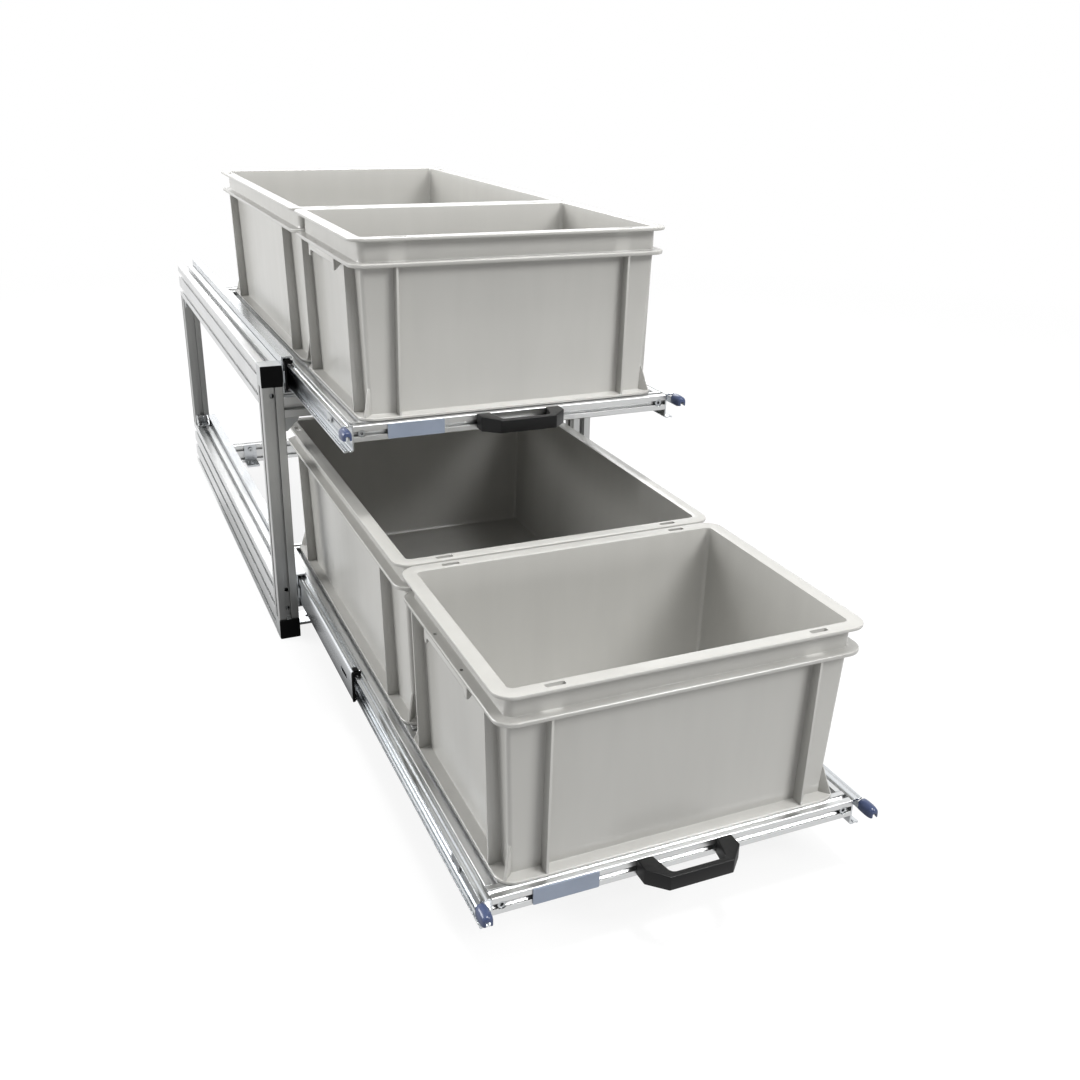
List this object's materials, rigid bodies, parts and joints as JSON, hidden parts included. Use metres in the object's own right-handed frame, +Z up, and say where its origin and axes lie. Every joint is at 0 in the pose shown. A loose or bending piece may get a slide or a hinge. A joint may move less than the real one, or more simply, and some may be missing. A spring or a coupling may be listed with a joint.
{
  "type": "pull-out bin frame",
  "caption": "Aluminium slot-profile frame with two pull-out trays on locking telescopic slides, each carrying two open grey stacking bins, with handles and blue release levers.",
  "frame": {"origin": "centre of the part's footprint box on the floor, in the pose of the picture (both drawers partly out)", "axes": "+Z up; drawers pull out along -Y, so +Y runs from the handles to the rear posts; +X to the right as seen from the handles"},
  "size_m": [0.51, 1.699, 0.63],
  "materials": {
    "anodised_aluminium": "satin anodised",
    "cast_aluminium": "fine blasted",
    "slide_zinc": "zinc plated sheet",
    "bright_steel": "zinc plated",
    "fastener_steel": "zinc plated",
    "bin_plastic": "moulded polypropylene",
    "black_plastic": "fine grained",
    "lever_plastic": "moulded, semi gloss",
    "label_film": "bare satin plate"
  },
  "bodies": {
    "frame": {"front_posts": "anodised_aluminium", "rear_posts": "anodised_aluminium", "lower_rail_left": "anodised_aluminium", "lower_rail_right": "anodised_aluminium", "upper_rail_left": "anodised_aluminium", "upper_rail_right": "anodised_aluminium", "front_crossbar": "anodised_aluminium", "rear_upper_crossbar": "anodised_aluminium", "rear_lower_crossbar": "anodised_aluminium", "corner_cubes": "cast_aluminium", "cube_covers": "black_plastic", "frame_screws": "fastener_steel", "corner_brackets": "cast_aluminium", "bracket_screws": "fastener_steel", "floor_brackets": "bright_steel", "slot_nuts": "fastener_steel", "lower_slide_outers": "slide_zinc", "upper_slide_outers": "slide_zinc", "slide_screws": "fastener_steel"},
    "lower_outer_cage": {"lower_outer_cages": "bright_steel"},
    "upper_outer_cage": {"upper_outer_cages": "bright_steel"},
    "lower_inner_cage": {"lower_inner_cages": "bright_steel"},
    "upper_inner_cage": {"upper_inner_cages": "bright_steel"},
    "lower_stage": {"lower_slide_mids": "slide_zinc", "lower_mid_clips": "black_plastic"},
    "upper_stage": {"upper_slide_mids": "slide_zinc", "upper_mid_clips": "black_plastic"},
    "lower_drawer": {"lower_slide_inners": "slide_zinc", "lower_front_bar": "anodised_aluminium", "lower_rear_bar": "anodised_aluminium", "lower_side_bars": "anodised_aluminium", "lower_divider_bar": "anodised_aluminium", "lower_handle": "black_plastic", "lower_label_plate": "label_film", "lower_tray_screws": "fastener_steel", "lower_lever_pins": "fastener_steel"},
    "lower_left_lock": {"lower_lever_left": "bright_steel", "lower_grip_left": "lever_plastic"},
    "lower_right_lock": {"lower_lever_right": "bright_steel", "lower_grip_right": "lever_plastic"},
    "lower_front_box": {"lower_front_bin": "bin_plastic"},
    "lower_rear_box": {"lower_rear_bin": "bin_plastic"},
    "upper_drawer": {"upper_slide_inners": "slide_zinc", "upper_front_bar": "anodised_aluminium", "upper_rear_bar": "anodised_aluminium", "upper_side_bars": "anodised_aluminium", "upper_divider_bar": "anodised_aluminium", "upper_handle": "black_plastic", "upper_label_plate": "label_film", "upper_tray_screws": "fastener_steel", "upper_lever_pins": "fastener_steel"},
    "upper_left_lock": {"upper_lever_left": "bright_steel", "upper_grip_left": "lever_plastic"},
    "upper_right_lock": {"upper_lever_right": "bright_steel", "upper_grip_right": "lever_plastic"},
    "upper_front_box": {"upper_front_bin": "bin_plastic"},
    "upper_rear_box": {"upper_rear_bin": "bin_plastic"}
  },
  "joints": [
    {"name": "lower_stage_slide", "type": "slide", "parent": "frame", "child": "lower_stage", "axis": [0, -1, 0], "range_m": [-0.308, 0.137]},
    {"name": "lower_drawer_slide", "type": "slide", "parent": "lower_stage", "child": "lower_drawer", "axis": [0, -1, 0], "range_m": [-0.445, 0]},
    {"name": "upper_stage_slide", "type": "slide", "parent": "frame", "child": "upper_stage", "axis": [0, -1, 0], "range_m": [0, 0.445]},
    {"name": "upper_drawer_slide", "type": "slide", "parent": "upper_stage", "child": "upper_drawer", "axis": [0, -1, 0], "range_m": [-0.305, 0.14]},
    {"name": "lower_outer_cage_roll", "type": "slide", "parent": "frame", "child": "lower_outer_cage", "axis": [0, -1, 0], "range_m": [-0.154, 0.0685]},
    {"name": "lower_inner_cage_roll", "type": "slide", "parent": "lower_stage", "child": "lower_inner_cage", "axis": [0, -1, 0], "range_m": [-0.2225, 0]},
    {"name": "upper_outer_cage_roll", "type": "slide", "parent": "frame", "child": "upper_outer_cage", "axis": [0, -1, 0], "range_m": [0, 0.2225]},
    {"name": "upper_inner_cage_roll", "type": "slide", "parent": "upper_stage", "child": "upper_inner_cage", "axis": [0, -1, 0], "range_m": [-0.1525, 0.07]},
    {"name": "lower_left_lever_turn", "type": "hinge", "parent": "lower_drawer", "child": "lower_left_lock", "pos_m": [-0.2155, -0.7535, 0.082], "axis": [1, 0, 0], "range_deg": [0, 6], "stiffness_Nm_per_rad": 0.05, "springref_deg": -14.32},
    {"name": "lower_right_lever_turn", "type": "hinge", "parent": "lower_drawer", "child": "lower_right_lock", "pos_m": [0.2155, -0.7535, 0.082], "axis": [1, 0, 0], "range_deg": [0, 6], "stiffness_Nm_per_rad": 0.05, "springref_deg": -14.32},
    {"name": "lower_front_bin_lift", "type": "slide", "parent": "lower_drawer", "child": "lower_front_box", "axis": [0, 0, 1], "range_m": [0, 0.03]},
    {"name": "lower_rear_bin_lift", "type": "slide", "parent": "lower_drawer", "child": "lower_rear_box", "axis": [0, 0, 1], "range_m": [0, 0.03]},
    {"name": "upper_left_lever_turn", "type": "hinge", "parent": "upper_drawer", "child": "upper_left_lock", "pos_m": [-0.2155, -0.3055, 0.412], "axis": [1, 0, 0], "range_deg": [0, 6], "stiffness_Nm_per_rad": 0.05, "springref_deg": -14.32},
    {"name": "upper_right_lever_turn", "type": "hinge", "parent": "upper_drawer", "child": "upper_right_lock", "pos_m": [0.2155, -0.3055, 0.412], "axis": [1, 0, 0], "range_deg": [0, 6], "stiffness_Nm_per_rad": 0.05, "springref_deg": -14.32},
    {"name": "upper_front_bin_lift", "type": "slide", "parent": "upper_drawer", "child": "upper_front_box", "axis": [0, 0, 1], "range_m": [0, 0.25]},
    {"name": "upper_rear_bin_lift", "type": "slide", "parent": "upper_drawer", "child": "upper_rear_box", "axis": [0, 0, 1], "range_m": [0, 0.25]}
  ],
  "couplings": [
    {"joint": "lower_outer_cage_roll", "follows": "lower_stage_slide", "ratio": 0.5},
    {"joint": "lower_inner_cage_roll", "follows": "lower_drawer_slide", "ratio": 0.5},
    {"joint": "upper_outer_cage_roll", "follows": "upper_stage_slide", "ratio": 0.5},
    {"joint": "upper_inner_cage_roll", "follows": "upper_drawer_slide", "ratio": 0.5}
  ]
}
